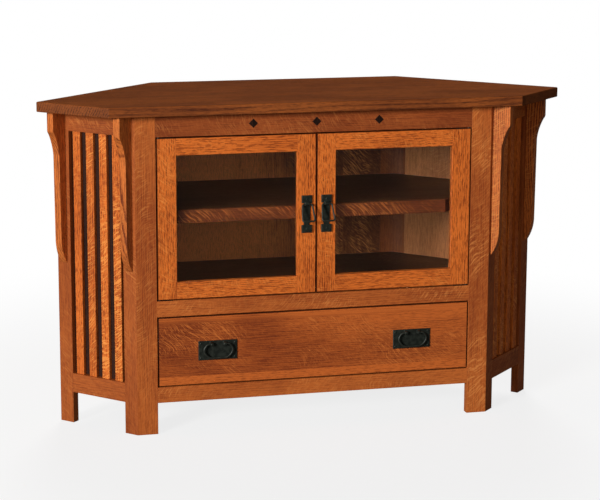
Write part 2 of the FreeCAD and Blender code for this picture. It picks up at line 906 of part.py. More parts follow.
def make_doors():
    rails = door_rails()
    nails = door_pull_nails()
    groups = {
        "door_rails": rails,
        "door_stiles": door_stiles(rails, nails),
        "door_glass": [door_glass()],
        "door_beads": glazing_beads(),
        "door_hinge_leaves": door_leaves(),
        "door_strike": [door_strike()],
        "door_pull_plate": [door_pull_plate(nails)],
        "door_pull_nails": nails,
        "door_bail": [door_bail()],
    }
    for name, right in groups.items():
        save("right_" + name, *right)
        save("left_" + name, *[mirrored(piece) for piece in right])


os.makedirs("parts", exist_ok=True)
make_case()
make_face_frame()
make_sides()
make_drawer()
make_doors()
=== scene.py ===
# %% [markdown]
# # A corner cabinet in quarter-sawn oak
# This lesson dresses a jointed corner cabinet. Its construction is already made: every board,
# pane and fitting comes in as the frame, at its real size and place. What is left is what the eye
# sees: stained oak with ray flecks, forged pulls, clear panes, soft light. The frame's pieces
# never move. A piece that needs a finer shape gets a copy made from it, which then stands for it.

import json
import math
import random
from dataclasses import dataclass

import bmesh
import bpy
import numpy as np
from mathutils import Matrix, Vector


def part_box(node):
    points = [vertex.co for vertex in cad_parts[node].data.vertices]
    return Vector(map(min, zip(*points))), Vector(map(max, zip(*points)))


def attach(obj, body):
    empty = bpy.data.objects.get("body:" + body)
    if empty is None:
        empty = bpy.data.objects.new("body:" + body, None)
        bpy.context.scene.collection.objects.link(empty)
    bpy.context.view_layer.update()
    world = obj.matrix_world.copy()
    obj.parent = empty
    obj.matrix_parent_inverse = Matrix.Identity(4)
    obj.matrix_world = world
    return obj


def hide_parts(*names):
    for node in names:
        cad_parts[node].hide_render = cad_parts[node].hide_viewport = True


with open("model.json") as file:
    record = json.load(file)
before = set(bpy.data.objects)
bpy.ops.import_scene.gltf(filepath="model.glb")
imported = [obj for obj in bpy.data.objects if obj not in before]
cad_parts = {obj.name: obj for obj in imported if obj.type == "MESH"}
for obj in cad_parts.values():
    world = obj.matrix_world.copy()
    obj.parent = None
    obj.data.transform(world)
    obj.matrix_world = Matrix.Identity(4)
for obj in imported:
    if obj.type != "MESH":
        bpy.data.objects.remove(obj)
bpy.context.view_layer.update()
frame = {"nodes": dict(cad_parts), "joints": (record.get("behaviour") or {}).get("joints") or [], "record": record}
nodes = frame["nodes"]
body_of = {node: body for body, members in frame["record"]["behaviour"]["bodies"].items()
           for node in members}
slot_of = {node: piece.data.materials[0].name for node, piece in nodes.items()}

# %% [markdown]
# ## The camera
# The photograph was taken from the left, a little above the cabinet, with a long lens. Such a
# view could be guessed by eye, but here it was worked out from about forty corners of the cabinet
# whose real places are known. A studio camera keeps uprights parallel by shifting its lens. Only
# a small shift is used, because other views keep it, so the camera also tips down a little.

# %% Camera
MM = 0.001
PHOTO_WIDTH = 600
FOCAL_PIXELS = 1804.7
CAMERA_PLACE = (-1.1146, -4.53275, 1.4081)
CAMERA_YAW = 0.2219
CAMERA_PITCH = 0.1773
CAMERA_SHIFT = (0.0631, -0.10)


def new_object(name, data):
    """A new object in the scene, with its mesh, lamp or camera."""
    thing = bpy.data.objects.new(name, data)
    bpy.context.scene.collection.objects.link(thing)
    return thing


camera_data = bpy.data.cameras.new("camera")
camera_data.lens = camera_data.sensor_width * FOCAL_PIXELS / PHOTO_WIDTH
camera_data.shift_x, camera_data.shift_y = CAMERA_SHIFT
camera = new_object("camera", camera_data)
camera.location = CAMERA_PLACE
camera.rotation_euler = (math.pi / 2 - CAMERA_PITCH, 0, -CAMERA_YAW)
bpy.context.scene.camera = camera
print("lens", round(camera_data.lens, 1), "mm")

# %% [markdown]
# ## Node trees written as sums
# Materials and Geometry Nodes are both node trees. Wiring each node by hand hides the idea behind
# it, so a socket is wrapped in a small class whose operators add Math nodes: `1 - mask` then means
# what it says. Every other node comes from one method, which takes the node's type, its settings
# and what goes into its sockets.

# %% Sums on sockets
class Wire:
    """A node's output that can be used in a sum."""

    def __init__(self, graph, socket):
        self.graph = graph
        self.socket = socket

    def math(self, operation, first, second=None):
        values = {0: first} if second is None else {0: first, 1: second}
        return self.graph.add("ShaderNodeMath", {"operation": operation}, values)

    def __add__(self, other):
        return self.math("ADD", self, other)

    def __sub__(self, other):
        return self.math("SUBTRACT", self, other)

    def __rsub__(self, other):
        return self.math("SUBTRACT", other, self)

    def __mul__(self, other):
        return self.math("MULTIPLY", self, other)

    def __truediv__(self, other):
        return self.math("DIVIDE", self, other)

    def __rtruediv__(self, other):
        return self.math("DIVIDE", other, self)

    def __pow__(self, other):
        return self.math("POWER", self, other)

    __radd__ = __add__
    __rmul__ = __mul__

    def rise(self, low, high):
        """0 below low, 1 above high, and a smooth step between them."""
        return self.graph.add("ShaderNodeMapRange", {"interpolation_type": "SMOOTHSTEP"},
                              {"Value": self, "From Min": low, "From Max": high})


# %% A node tree's builder
def pick(sockets, key):
    """A socket by its number or its name. Only those in use count, and None is the first."""
    if isinstance(key, int):
        return sockets[key]
    return next(socket for socket in sockets if socket.enabled and key in (None, socket.name))


class Graph:
    """A node tree of any kind, to which nodes are added."""

    def __init__(self, tree):
        self.tree = tree

    def add(self, kind, settings=None, inputs=None, output=None):
        node = self.tree.nodes.new(kind)
        for name, value in (settings or {}).items():
            setattr(node, name, value)
        for key, value in (inputs or {}).items():
            self.feed(pick(node.inputs, key), value)
        if not node.outputs:
            return node
        return Wire(self, pick(node.outputs, output))

    def feed(self, socket, value):
        if isinstance(value, Wire):
            self.tree.links.new(value.socket, socket)
        elif socket.type == "RGBA" and len(value) == 3:
            socket.default_value = (*value, 1)
        else:
            socket.default_value = value

    def mix(self, share, first, second, blend="MIX"):
        """A colour between two colours."""
        return self.add("ShaderNodeMix", {"data_type": "RGBA", "blend_type": blend},
                        {"Factor": share, "A": first, "B": second})

    def vector(self, operation, first, second):
        return self.add("ShaderNodeVectorMath", {"operation": operation},
                        {0: first, 1: second})

    def split(self, vector, axes="XYZ"):
        """A vector's parts along some axes."""
        return [self.add("ShaderNodeSeparateXYZ", None, {0: vector}, axis) for axis in axes]

    def join(self, x, y, z):
        return self.add("ShaderNodeCombineXYZ", None, {0: x, 1: y, 2: z})

    def attribute(self, name, output="Fac"):
        """What the mesh stores at the shaded spot."""
        return self.add("ShaderNodeAttribute", {"attribute_name": name}, None, output)

    def coordinates(self, output="Object"):
        return self.add("ShaderNodeTexCoord", None, None, output)

    def bump(self, height, depth, strength):
        return self.add("ShaderNodeBump", None,
                        {"Strength": strength, "Distance": depth, "Height": height})

    def noise(self, place, scales, detail=2.0, roughness=0.5):
        """Soft noise from 0 to 1. The scales say how many lumps fit in a metre each way."""
        stretched = self.vector("MULTIPLY", place, scales)
        return self.add("ShaderNodeTexNoise", None,
                        {"Vector": stretched, "Scale": 1.0, "Detail": detail,
                         "Roughness": roughness}, "Fac")


def new_material(name):
    """An empty material with its graph."""
    material = bpy.data.materials.new(name)
    material.use_nodes = True
    material.node_tree.nodes.clear()
    return material, Graph(material.node_tree)


def show(graph, shader):
    """Makes a shader what the material's surface shows."""
    graph.add("ShaderNodeOutputMaterial", None, {"Surface": shader})


def show_surface(graph, colour, rough, normal, **constants):
    """Makes a surface the material. A constant's name is its socket's, with _ for a space."""
    named = {name.replace("_", " "): value for name, value in constants.items()}
    show(graph, graph.add("ShaderNodeBsdfPrincipled", None,
                          {"Base Color": colour, "Roughness": rough, "Normal": normal,
                           **named}))


print("node helpers ready")

# %% [markdown]
# ## A pale studio
# The cabinet stands on a white sweep. The floor still needs its soft shadow, so it isn't pure
# light: seen by the camera it is a mix of a diffuse surface, which holds the shadow, and plain
# white, whose share grows away from the cabinet until floor and background are one. Varnish and
# glass reflect the sweep dimmed, as grey screens beside the camera would make it, and the floor
# throws little light back, so that shaded sides stay deep.

# %% Floor and background
FLOOR_SIZE = 14.0
FLOOR_DIFFUSE = (0.78, 0.77, 0.76)
SHADOW_SHARE = 0.19
FADE_START = 0.7
FADE_END = 1.9
FLOOR_BOUNCE = (0.20, 0.19, 0.18)
AMBIENT = (0.055, 0.053, 0.052)
SCREEN = (0.05, 0.046, 0.042)


def light_path(graph, output):
    return graph.add("ShaderNodeLightPath", None, None, output)


def seen_directly(graph, start=0):
    """1 for rays from the camera, also on through glass, and 0 for the light itself. A ray that
    has bounced before it went through the glass doesn't count. The bounces of a plain camera ray
    start at 0 on a surface and at 1 on the background."""
    camera_ray = light_path(graph, "Is Camera Ray")
    straight = camera_ray.math("MAXIMUM", camera_ray, light_path(graph, "Is Transmission Ray"))
    bounces = light_path(graph, "Ray Depth") - light_path(graph, "Transmission Depth")
    return straight * bounces.math("LESS_THAN", bounces, start + 0.5)


def floor_material():
    material, graph = new_material("studio_floor")
    place = graph.coordinates()
    distance = graph.add("ShaderNodeVectorMath", {"operation": "LENGTH"}, {0: place}, "Value")
    near = (1 - distance.rise(FADE_START, FADE_END)) * SHADOW_SHARE
    direct = seen_directly(graph)
    mirrored = light_path(graph, "Is Glossy Ray") * (1 - direct)
    surface = graph.add("ShaderNodeBsdfDiffuse", None,
                        {"Color": graph.mix(light_path(graph, "Is Diffuse Ray"),
                                            FLOOR_DIFFUSE, FLOOR_BOUNCE)})
    plain = graph.add("ShaderNodeEmission", None,
                      {"Color": graph.mix(mirrored, (1, 1, 1), SCREEN), "Strength": 1.0})
    share = mirrored.math("MAXIMUM", mirrored, direct * (1 - near))
    show(graph, graph.add("ShaderNodeMixShader", None, {0: share, 1: surface, 2: plain}))
    return material


def add_floor():
    mesh = bpy.data.meshes.new("studio_floor")
    reach = FLOOR_SIZE / 2
    corners = [(-reach, -reach, 0), (reach, -reach, 0), (reach, reach, 0), (-reach, reach, 0)]
    mesh.from_pydata(corners, [], [(0, 1, 2, 3)])
    mesh.materials.append(floor_material())
    new_object("studio_floor", mesh)


def set_world():
    world = bpy.data.worlds.new("studio")
    bpy.context.scene.world = world
    world.use_nodes = True
    world.node_tree.nodes.clear()
    graph = Graph(world.node_tree)
    colour = graph.mix(light_path(graph, "Is Glossy Ray"), AMBIENT, SCREEN)
    colour = graph.mix(seen_directly(graph, 1), colour, (1, 1, 1))
    background = graph.add("ShaderNodeBackground", None, {"Color": colour, "Strength": 1.0})
    graph.add("ShaderNodeOutputWorld", None, {"Surface": background})


add_floor()
set_world()
bpy.context.scene.view_settings.view_transform = "Standard"
print("floor", FLOOR_SIZE, "m")

# %% [markdown]
# ## The lamps
# The key is one soft lamp, far off to the front left and low. It grazes the top, leaves the right
# side in shade, and lets one corbel shade the next, as in the photograph. A weak lamp fills the
# front, and one behind lights the back, which the photograph doesn't show. An area lamp of P
# watts lights a surface that faces it at a distance d as brightly as its colour is written when
# P is about 10 d squared, so each lamp's strength is given as a share of that.

# %% Lamps
LOOK_AT = Vector((0, -0.1, 0.45))
PLAIN_LEVEL = math.pi ** 2


def add_lamp(name, azimuth, elevation, distance, size, level, mirrored=True):
    """An area lamp seen from the cabinet at an azimuth left of the front, in degrees. Varnish
    shows no glare of a lamp that isn't mirrored."""
    data = bpy.data.lights.new(name, "AREA")
    data.shape = "DISK"
    data.size = size
    data.energy = level * PLAIN_LEVEL * distance ** 2
    lamp = new_object(name, data)
    turn = math.radians(azimuth)
    rise = math.radians(elevation)
    toward = Vector((-math.sin(turn) * math.cos(rise), -math.cos(turn) * math.cos(rise),
                     math.sin(rise)))
    lamp.location = LOOK_AT + toward * distance
    lamp.rotation_euler = (-toward).to_track_quat("-Z", "Y").to_euler()
    lamp.visible_glossy = mirrored
    print(name, "watts", round(data.energy))


add_lamp("key_lamp", azimuth=49, elevation=14, distance=14.0, size=3.6, level=0.99)
add_lamp("fill_lamp", azimuth=3, elevation=12, distance=6.0, size=3.0, level=0.15,
         mirrored=False)
add_lamp("back_lamp", azimuth=193, elevation=36, distance=7.0, size=3.0, level=0.6,
         mirrored=False)

# %% [markdown]
# ## Boards with their own grain
# A board is sawn from a log, so its figure runs with it and not with the room. Each board
# therefore carries its own coordinates: across the face, through the thickness and along the
# grain, which a joiner always lays along the board's longest side. They are stored on the mesh as
# an attribute, with a random start for each board, so that no two boards show the same figure.

# %% Find each solid and its grain
SIDE_TURN = math.radians(45)
TIGHTER = 0.99
GRAIN_SPREAD = 4.0
LEAST_FLECKS = 0.6
LEAST_ON_SLATS = 0.15
MOST_FLECKS = 1.2


def solids_of(mesh):
    """The vertices of each separate solid in a mesh."""
    parent = list(range(len(mesh.vertices)))

    def root(vertex):
        while parent[vertex] != vertex:
            parent[vertex] = parent[parent[vertex]]
            vertex = parent[vertex]
        return vertex

    for edge in mesh.edges:
        first, second = edge.vertices
        parent[root(first)] = root(second)
    groups = {}
    for vertex in range(len(parent)):
        groups.setdefault(root(vertex), []).append(vertex)
    return list(groups.values())


def board_axes(points):
    """The directions across, through and along a board, from its tightest upright box."""
    found = None
    for turn in (0, SIDE_TURN, -SIDE_TURN):
        axes = np.array([[math.cos(turn), math.sin(turn), 0],
                         [-math.sin(turn), math.cos(turn), 0], [0, 0, 1]])
        sides = np.ptp(points @ axes.T, axis=0)
        if found is None or np.prod(sides) < found[0] * TIGHTER:
            found = (np.prod(sides), sides, axes)
    thin, middle, longest = np.argsort(found[1])
    return found[2][[middle, thin, longest]]


# How boldly the rays show, by the words in a board's name. The first that fits counts.
FIGURE = {"slats": 1.7, "side_rails": 1.2, "right_front_stile": 1.1, "door": 0.5,
          "stile": 0.7, "corbels": 0.8, "drawer_front": 0.9, "top_panel": 0.3, "lip": 1.6,
          "back_panel": 1.2, "": 0.7}


def figure_of(node):
    return next(share for words, share in FIGURE.items() if words in node)


def places_of(mesh):
    places = np.empty(len(mesh.vertices) * 3)
    mesh.vertices.foreach_get("co", places)
    return places.reshape(-1, 3)


def store(mesh, name, values, domain="POINT"):
    """Keeps a number, or a vector, for each point or face of a mesh."""
    values = np.asarray(values)
    kind, field = ("FLOAT_VECTOR", "vector") if values.ndim > 1 else ("FLOAT", "value")
    mesh.attributes.new(name, kind, domain).data.foreach_set(field, values.ravel())


def lay_grain(mesh, seed):
    """Gives each board of a mesh its own grain coordinates, a tone from -1 to 1, the share of its
    flecks, and on each face how far it cuts across the grain. The seed is the board's name."""
    draw = random.Random(seed)
    places = places_of(mesh)
    grain = np.empty_like(places)
    tone = np.empty(len(places))
    figure = np.empty(len(places))
    runs = np.empty_like(places)
    least = LEAST_ON_SLATS if "slats" in seed else LEAST_FLECKS
    for solid in solids_of(mesh):
        axes = board_axes(places[solid])
        runs[solid] = axes[2]
        local = places[solid] @ axes.T
        middle = (local.min(axis=0) + local.max(axis=0)) / 2
        grain[solid] = local - middle + [draw.uniform(1, GRAIN_SPREAD) for axis in range(3)]
        tone[solid] = draw.uniform(-1, 1)
        figure[solid] = figure_of(seed) * draw.uniform(least, MOST_FLECKS)
    store(mesh, "grain", grain)
    store(mesh, "tone", tone)
    store(mesh, "figure", figure)
    store(mesh, "end", [abs(face.normal.dot(Vector(runs[face.vertices[0]])))
                        for face in mesh.polygons], "FACE")


print("grain helpers ready")

# %% [markdown]
# ## Stained quarter-sawn oak
# A solid texture does this best, because it runs round every edge as real wood does. Across the
# board come the growth rings, which lean a little, and whose early wood holds long dark pores that
# drink up stain. Quarter sawing also cuts along the rays, which show as pale silky flecks that lie
# across the grain in curved families. Wiping stain leaves slow clouds of colour over it all, and
# end grain drinks up the most. Under the varnish the flecks are a little smoother and the pores a
# little rougher, and the bump follows the pores. Edges that hands and cloths rub lose a little
# stain. A dark outline round a door or drawer is painted shade of the gap beside it, and across a
# few boards painted light and shade change from left to right.

# %% Parts of the figure
RING_PITCH = 5.2 * MM
RING_LEAN = 0.4
RAY_CURL = 55 * MM
# Painted shade of the gap round a door or drawer: where it starts and ends inside the edge, and how dark it gets.
GAP_SHADE_START = 0.8 * MM
GAP_SHADE_END = 2.0 * MM
GAP_PAINTED_SHADE = 0.85
STAVE_JUMP = 3.7
STRIP_JUMP = 1.9
STRIP_TONE = 5.0
STRIP_WANDER = 6 * MM
STRIP_FADE = (-4 * MM, 8 * MM)

# How many lumps of noise fit in a metre across, through and along a board.
CLOUDS = (9, 9, 3.5)
SWAY = (7, 7, 1.6)
UNEVEN_YEARS = (55, 55, 1.2)
FAINT_YEARS = (60, 60, 1.0)
PORES = (1150, 1150, 42)
DASHES = (430, 430, 62)
STREAKS = (330, 330, 17)
CURLS = (16, 16, 7)
PATCHES = (13, 13, 5)
FLAKES = (44, 500, 300)
LACE = (95, 900, 440)
GLUE_LINE = (20, 20, 3)


def wood_parts(graph, stave, seat):
    """Across, through, along and tone of a board, or of the staves a wide one is glued from."""
    place = graph.attribute("grain", "Vector")
    tone = graph.attribute("tone")
    across, through, along = graph.split(place)
    if stave:
        number = across.math("FLOOR", across / stave)
        luck = graph.add("ShaderNodeTexWhiteNoise", {"noise_dimensions": "1D"},
                         {"W": number}, "Value")
        along = along + luck * STAVE_JUMP
        tone = tone * 0.4 + (luck * 2 - 1) * seat
    return place, tone, across, through, along


def paler_strips(graph, place, low, high):
    """1 on the strip glued on below the low height, and less on the one above the high."""
    height, = graph.split(graph.coordinates(), "Z")
    ragged = height + (graph.noise(place, GLUE_LINE, 2.0) - 0.5) * STRIP_WANDER
    upper = ragged.rise(high + STRIP_FADE[0], high + STRIP_FADE[1])
    return height.math("LESS_THAN", height, low) + upper * 0.7


def early_wood(graph, wood, bent):
    """The early wood of each year, from 0 to 1. Some years are fainter than others."""
    uneven = graph.noise(wood, UNEVEN_YEARS, 2.0)
    ring = bent.math("FRACT", bent / RING_PITCH + uneven * 1.7)
    early = ring.rise(0.35, 0.85) * (1 - ring.rise(0.93, 1.0))
    bold = graph.noise(wood, FAINT_YEARS, 1.0).rise(0.35, 0.65)
    return early * (bold * 0.7 + 0.3)


def enlarged(lumps, size):
    """Fewer lumps in a metre of the board's face, and as many through it."""
    across, through, along = lumps
    return across / size, through, along / size


def ray_flecks(graph, wood, across, through, along, cut):
    """Bold flakes in patches and fine lace between them, from 0 to 1."""
    curl = graph.noise(wood, CURLS, 1.0) - 0.5
    rays = graph.join(across, through, along + across * cut.slant + curl * RAY_CURL)
    patches = graph.noise(wood, PATCHES, 2.0).rise(0.38, 0.66)
    flakes = graph.noise(rays, enlarged(FLAKES, cut.size), 1.0, 0.4).rise(0.55, 0.65)
    lace = graph.noise(rays, enlarged(LACE, cut.size), 1.0, 0.5).rise(0.50, 0.67)
    return flakes * patches * 0.9 + lace * (patches * 0.35 + 0.25)


def drifting(graph, drift):
    """Painted light across a board that grows to the right, or painted shade where the drift is below 0. Faces
    towards the rear don't get it.
    """
    x, = graph.split(graph.coordinates(), "X")
    rearward, = graph.split(graph.coordinates("Normal"), "Y")
    return x * (1 - rearward.rise(0.3, 0.6)) * drift


def painted_gap_shade(graph, low, high):
    """Painted shade of the gap round a leaf that stands upright: 1 on its narrow rim and on the edges round it."""
    x, z = graph.split(graph.coordinates(), "XZ")
    inset = x.math("MINIMUM", x - low.x, high.x - x)
    inset = inset.math("MINIMUM", inset, z.math("MINIMUM", z - low.z, high.z - z))
    return 1 - inset.rise(GAP_SHADE_START, GAP_SHADE_END)


def shaded(colour, share):
    return tuple(part * share for part in colour)


# %% Oak material
@dataclass
class Cut:
    """How a piece of oak was chosen, glued up and finished, and what painted light and shade it carries."""
    depth: float = 0.05  # how far the stain darkens it
    rings: float = 0.2  # how bold its rings are
    dashes: float = 0.5  # how dark its long pores are
    wild: float = 22 * MM  # how far its rings wander
    slant: float = 0.55  # how steeply its flecks lie
    size: float = 1.0  # how large its flecks are
    stave: float = 0.0  # width of the staves it is glued from
    seat: float = 0.9  # how much the staves' tones differ
    pale: tuple = ()  # the two heights outside which paler strips are glued on
    rim: tuple = ()  # low and high corner of a leaf round whose outline shade of the gap is painted
    drift: float = 0.0  # painted light it gains in a metre to the right, or painted shade if below 0, but not on its rear
    dull: float = 0.4  # how rough its varnish is
    coat: float = 0.04  # the share of clear coat on it


def oak(name, light, dark, fleck, **choices):
    """Oak whose stain goes from dark to light. Its flecks have a colour of their own."""
    cut = Cut(**choices)
    material, graph = new_material(name)
    place, tone, across, through, along = wood_parts(graph, cut.stave, cut.seat)
    figured = graph.attribute("figure")
    worn = graph.attribute("worn")
    end = graph.attribute("end")
    if cut.pale:
        strip = paler_strips(graph, place, *cut.pale)
        tone = tone * (1 - strip) + strip * STRIP_TONE
        along = along + strip * STRIP_JUMP
        figured = figured * (1 - strip * 0.6)

    sway = graph.noise(place, SWAY, 1.0) - 0.5
    bent = across + through * RING_LEAN + sway * cut.wild
    wood = graph.join(bent, through, along)
    early = early_wood(graph, wood, bent)
    pores = graph.noise(wood, PORES, 2.0, 0.6).rise(0.52, 0.68) * (early * 0.75 + 0.25)
    dashes = graph.noise(wood, DASHES, 2.0, 0.5).rise(0.48, 0.60) * (early * 0.5 + 0.5)
    streaks = graph.noise(wood, STREAKS, 3.0, 0.6).rise(0.42, 0.72)
    flecks = ray_flecks(graph, wood, across, through, along, cut) * figured
    flecks = flecks.math("MINIMUM", flecks, 1.0)

    clouds = graph.noise(place, CLOUDS, 2.0, 0.55).rise(0.30, 0.70)
    lightness = (clouds * 0.5 + (1 - streaks) * 0.4 + (1 - early) * cut.rings + tone * 0.14
                 - cut.depth)
    # Painted light or painted shade that changes from left to right.
    if cut.drift:
        lightness = lightness + drifting(graph, cut.drift)
    deep = shaded(dark, 0.25)
    colour = graph.mix(lightness, dark, light)
    colour = graph.mix(flecks * 0.8, colour, fleck)
    colour = graph.mix(dashes * (1 - flecks) * cut.dashes, colour, shaded(dark, 0.7))
    colour = graph.mix(pores * 0.45, colour, deep)
    colour = graph.mix(end * (early * 0.45 + 0.3), colour, deep)
    colour = graph.mix(worn * (clouds * 0.25 + 0.1), colour, shaded(light, 1.25))
    # Painted shade of the gap round a door or drawer.
    if cut.rim:
        colour = graph.mix(painted_gap_shade(graph, *cut.rim) * GAP_PAINTED_SHADE, colour, deep)

    rough = cut.dull + pores * 0.2 - flecks * 0.1 + streaks * 0.05 + worn * 0.08
    normal = graph.bump((1 - pores) + flecks * 0.12, depth=0.12 * MM, strength=0.35)
    show_surface(graph, colour, rough, normal, Specular_IOR_Level=0.2,
                 Coat_Weight=cut.coat, Coat_Roughness=0.22)
    return material


# %% The cabinet's stains
def leaf(*names):
    """The low and high corner round a fitted leaf's boards."""
    boxes = [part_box(name) for name in names]
    return (Vector([min(box[0][axis] for box in boxes) for axis in range(3)]),
            Vector([max(box[1][axis] for box in boxes) for axis in range(3)]))


DOOR_TONES = ((0.72, 0.164, 0.024), (0.20, 0.025, 0.006), (0.88, 0.31, 0.066))
DOOR_CUT = {"rings": 0.42, "dashes": 0.9}
LOWER_STRIP = 22 * MM
UPPER_STRIP = 12.4 * MM
WIDE_STAVE = 110 * MM

drawer_leaf = leaf("drawer_front")
strip_heights = (drawer_leaf[0].z + LOWER_STRIP, drawer_leaf[1].z - UPPER_STRIP)
finish = {
    "oak_frame": oak("oak_frame", (0.55, 0.138, 0.027), (0.235, 0.040, 0.010),
                     (0.70, 0.235, 0.058), dashes=0.45, slant=-0.8),
    "oak_door": oak("oak_door", *DOOR_TONES, **DOOR_CUT),
    # The drawer front's drift is painted light that grows towards the right.
    "oak_drawer": oak("oak_drawer", (0.58, 0.132, 0.024), (0.16, 0.026, 0.008),
                      (0.62, 0.17, 0.036), depth=0.22, slant=0.9, size=0.7,
                      stave=104 * MM, seat=0.5, pale=strip_heights, rim=drawer_leaf,
                      drift=0.7),
    "oak_top": oak("oak_top", (0.31, 0.078, 0.014), (0.090, 0.019, 0.005),
                   (0.35, 0.105, 0.023), depth=0.16, rings=0.5, dashes=0.7,
                   stave=95 * MM, seat=0.5, dull=0.64, coat=0.0),
    "oak_inside": oak("oak_inside", (0.074, 0.031, 0.013), (0.034, 0.014, 0.006),
                      (0.11, 0.046, 0.017), stave=WIDE_STAVE),
}
print("finishes", sorted(finish))

# %% [markdown]
# ## Boards with their own stain and painted light
# No two boards drink up stain alike. Corbels were cut from a plank with wild rings. Other boards
# carry painted light and shade: the side frames are a darker copy of the frame's oak, the front top
# rail is darker as a painted shadow of the top's overhang, the back and the rear sides are paler
# partly as painted light through the panes, the floor inside darkens to the right, and the panels
# behind the slats are near black as painted shade in the gaps. Each of these boards gets its
# own colours by its node's name, and the rest share the finish of their slot.

# %% Stains of single boards
back_frame_oak = oak("oak_back_frame", (0.28, 0.070, 0.017), (0.12, 0.026, 0.007),
                     (0.36, 0.11, 0.032))
corbel_oak = oak("oak_corbel", (0.64, 0.165, 0.032), (0.17, 0.028, 0.008),
                 (0.66, 0.23, 0.055), depth=0.45, rings=0.9, dashes=0.75, wild=90 * MM)
# The side frames get a darker copy of the frame's oak, as painted shade that tones down the key lamp's stronger
# light on them.
side_oak_painted_shade = oak("oak_side", (0.42, 0.100, 0.020), (0.18, 0.030, 0.008), (0.56, 0.180, 0.044),
               dashes=0.45, slant=-0.8)
stain_of = {
    # The back is pale, partly as painted light through the panes, and its drift paints shade that deepens to the
    # right.
    "back_panel": oak("oak_back", (0.88, 0.275, 0.080), (0.11, 0.031, 0.011),
                      (0.58, 0.21, 0.060), slant=0.9, stave=150 * MM, seat=0.3, drift=-3.6),
    "back_legs": back_frame_oak,
    "back_rails": back_frame_oak,
    # The rear sides are much paler, partly as painted light from the lamps through the panes.
    "rear_side_panels": oak("oak_rear", (0.74, 0.275, 0.100), (0.40, 0.135, 0.045),
                            (0.80, 0.36, 0.14), stave=WIDE_STAVE),
    # The front top rail is darker, as a painted shadow of the top's overhang.
    "front_top_rail": oak("oak_rail", (0.365, 0.084, 0.019), (0.155, 0.027, 0.008),
                          (0.49, 0.15, 0.038), dashes=0.45),
    # The floor inside gets darker to the right, as painted shade.
    "compartment_floor": oak("oak_floor", (0.100, 0.042, 0.018), (0.013, 0.006, 0.003),
                             (0.12, 0.052, 0.020), stave=WIDE_STAVE, drift=-3.0),
    "shelf_front_lip": oak("oak_lip", (0.165, 0.034, 0.009), (0.075, 0.014, 0.004),
                           (0.44, 0.13, 0.028), rings=0.35, slant=1.0, size=1.7),
    # The panels behind the slats are near black: painted shade in the gaps between the slats.
    "side_backing_panels": oak("oak_in_shade", (0.034, 0.009, 0.004), (0.014, 0.004, 0.002),
                               (0.05, 0.015, 0.006), dull=0.75, coat=0.0),
}
for side in ("left", "right"):
    stiles, rails = side + "_door_stiles", side + "_door_rails"
    stain_of[stiles] = stain_of[rails] = oak("oak_" + side + "_door", *DOOR_TONES, **DOOR_CUT,
                                             rim=leaf(stiles, rails))
    stain_of[side + "_corbels"] = corbel_oak
for node in nodes:
    if "side" in node and slot_of[node] == "oak_frame":
        stain_of.setdefault(node, side_oak_painted_shade)
print("boards with their own stain", len(stain_of))

# %% [markdown]
# ## Dress a board
# The frame's meshes are loose triangles. A copy is welded and its flat faces are joined again, so
# that only real edges are left. Then each outer edge gets a small ease, as a sanding block gives
# it: it catches a line of light, and where two boards meet it leaves the hairline of a joint.

# %% Boards from the frame
WELD = 0.001 * MM
FLAT = math.radians(0.5)
SHARP = math.radians(28)
ROUNDED = math.radians(50)
BROAD_FACES = 6000
BOARD_EASE = 0.6 * MM
CORBEL_EASE = 1.3 * MM
TOP_EASE = 0.8 * MM
SLAT_EASE = 1.0 * MM
PEG_EASE = 0.35 * MM
SHORTEST_EASED = 6 * MM


def welded(node):
    """A copy of a node's mesh with its triangles joined into flat faces."""
    mesh = bmesh.new()
    mesh.from_mesh(nodes[node].data)
    bmesh.ops.remove_doubles(mesh, verts=mesh.verts, dist=WELD)
    bmesh.ops.dissolve_limit(mesh, angle_limit=FLAT, verts=mesh.verts, edges=mesh.edges)
    return mesh


def plain_mesh(shape, name):
    """A plain mesh made from a bmesh, which is then gone."""
    mesh = bpy.data.meshes.new(name)
    shape.to_mesh(mesh)
    shape.free()
    return mesh


def ease_edges(mesh, width, shortest):
    """Bevels the outer edges that are long enough, and marks the rubbed line along each."""
    worn = mesh.verts.layers.float.new("worn")
    edges = [edge for edge in mesh.edges if edge.is_manifold and edge.is_convex
             and edge.calc_face_angle() > SHARP and edge.calc_length() > shortest]
    made = bmesh.ops.bevel(mesh, geom=edges, offset=width, segments=2, profile=0.5,
                           affect="EDGES", clamp_overlap=True)
    eased = set(made["faces"])
    for vertex in made["verts"]:
        if eased.issuperset(vertex.link_faces):
            vertex[worn] = 1.0


def place_piece(name, mesh, material, *replaced):
    """Puts a finished mesh in the scene with the given material, on the body of what it stands for.
    Weighted normals keep a broad face flat beside its eased edge."""
    mesh.materials.clear()
    mesh.materials.append(material)
    for face in mesh.polygons:
        face.use_smooth = True
    mesh.set_sharp_from_angle(angle=ROUNDED)
    piece = new_object(name, mesh)
    if len(mesh.polygons) < BROAD_FACES:
        piece.modifiers.new("even", "WEIGHTED_NORMAL").keep_sharp = True
    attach(piece, body_of[replaced[0]])
    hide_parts(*replaced)
    return piece


def dress_board(node, ease=BOARD_EASE, shortest=SHORTEST_EASED):
    """Stands an eased copy with its own grain for a board of the frame."""
    shape = welded(node)
    ease_edges(shape, ease, shortest)
    mesh = plain_mesh(shape, "oak_" + node)
    lay_grain(mesh, node)
    return place_piece("oak_" + node, mesh, stain_of.get(node, finish[slot_of[node]]), node)


print("board helpers ready")

# %% [markdown]
# ## Drawer box wood
# The drawer's box isn't stained. It is maple, pale and close-grained, so its material is a plain
# one: faint streaks along the grain and a clear lacquer.

